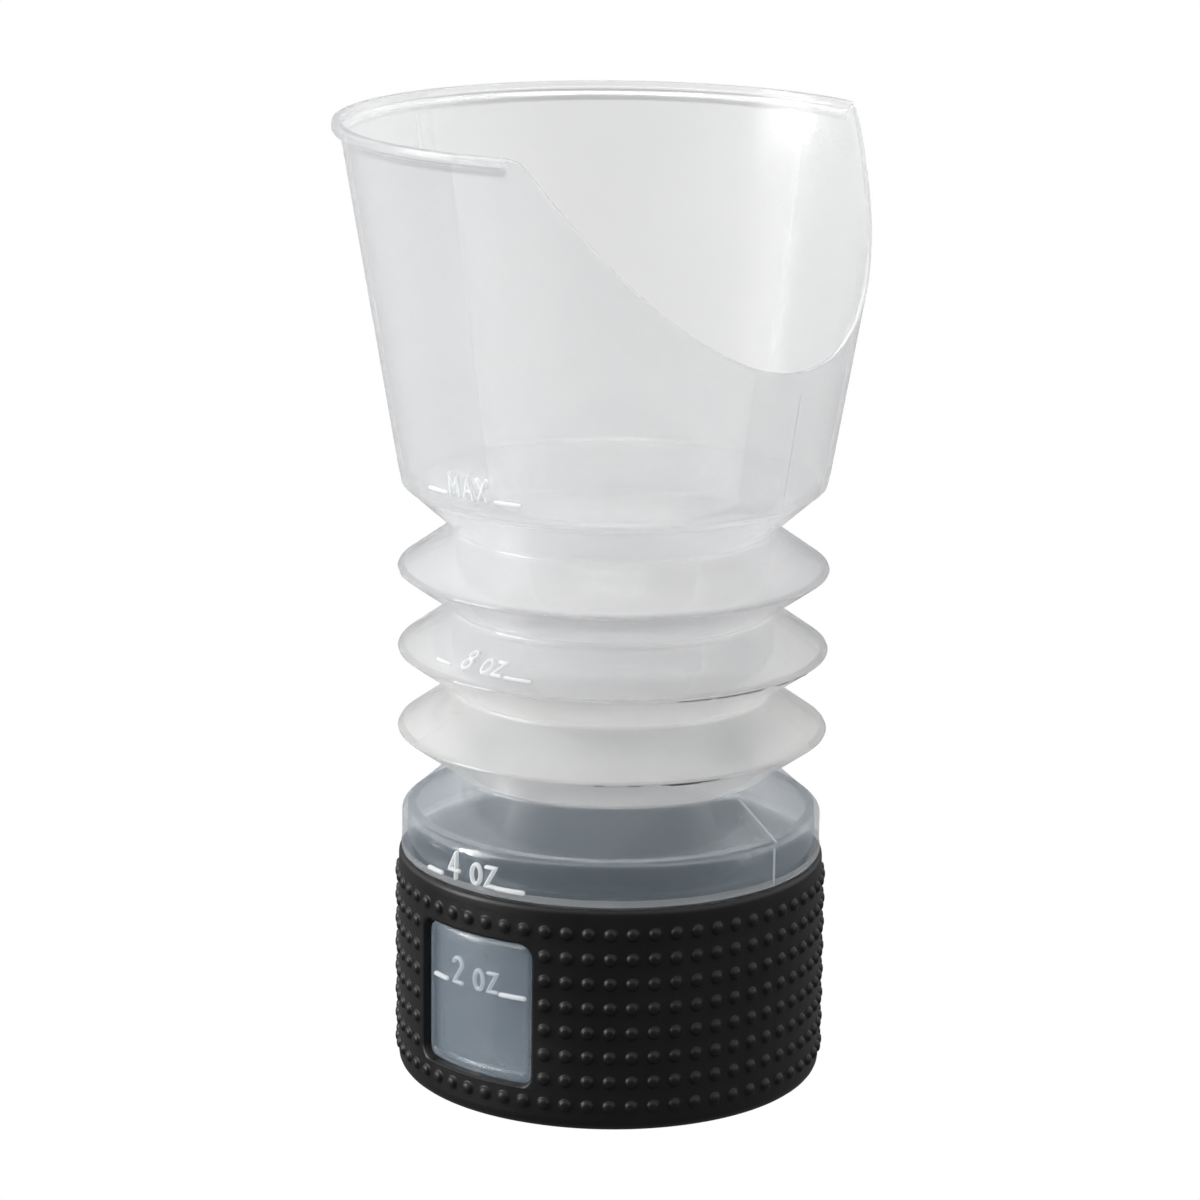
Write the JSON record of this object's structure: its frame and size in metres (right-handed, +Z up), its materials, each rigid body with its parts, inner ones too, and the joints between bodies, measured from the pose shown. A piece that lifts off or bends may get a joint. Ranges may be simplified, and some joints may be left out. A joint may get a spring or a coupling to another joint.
{
  "type": "collapsible measuring cup",
  "caption": "Translucent plastic measuring cup with a bellows body that squashes flat, a flared bowl with a deep curved notch in its rim, and a black dotted rubber grip sleeve with a window.",
  "frame": {"origin": "on the cup's axis, at the flat underside of the rubber sleeve that stands on the table", "axes": "+Z up along the cup's axis; the sleeve's window and the graduations face -Y; the notch in the rim is on the +X side"},
  "size_m": [0.0859, 0.093, 0.1615],
  "materials": {
    "cup_plastic": "milky translucent, satin",
    "sleeve_rubber": "matt black"
  },
  "bodies": {
    "base": {"base_cup": "cup_plastic", "grip_sleeve": "sleeve_rubber", "bellows_fold_4": "cup_plastic"},
    "fold_ring_3": {"bellows_fold_3": "cup_plastic"},
    "fold_ring_2": {"bellows_fold_2": "cup_plastic"},
    "fold_ring_1": {"bellows_fold_1": "cup_plastic"},
    "bowl": {"cup_bowl": "cup_plastic"}
  },
  "joints": [
    {"name": "fold_4_close", "type": "slide", "parent": "base", "child": "fold_ring_3", "axis": [0, 0, 1], "range_m": [-0.00959, 0], "stiffness_N_per_m": 600, "deforming": ["bellows_fold_4"]},
    {"name": "fold_3_close", "type": "slide", "parent": "fold_ring_3", "child": "fold_ring_2", "axis": [0, 0, 1], "range_m": [-0.00959, 0], "stiffness_N_per_m": 600, "deforming": ["bellows_fold_3"]},
    {"name": "fold_2_close", "type": "slide", "parent": "fold_ring_2", "child": "fold_ring_1", "axis": [0, 0, 1], "range_m": [-0.00959, 0], "stiffness_N_per_m": 600, "deforming": ["bellows_fold_2"]},
    {"name": "fold_1_close", "type": "slide", "parent": "fold_ring_1", "child": "bowl", "axis": [0, 0, 1], "range_m": [-0.00959, 0], "stiffness_N_per_m": 600, "deforming": ["bellows_fold_1"]}
  ],
  "couplings": [
    {"joint": "fold_3_close", "follows": "fold_4_close", "ratio": 1},
    {"joint": "fold_2_close", "follows": "fold_4_close", "ratio": 1},
    {"joint": "fold_1_close", "follows": "fold_4_close", "ratio": 1}
  ]
}
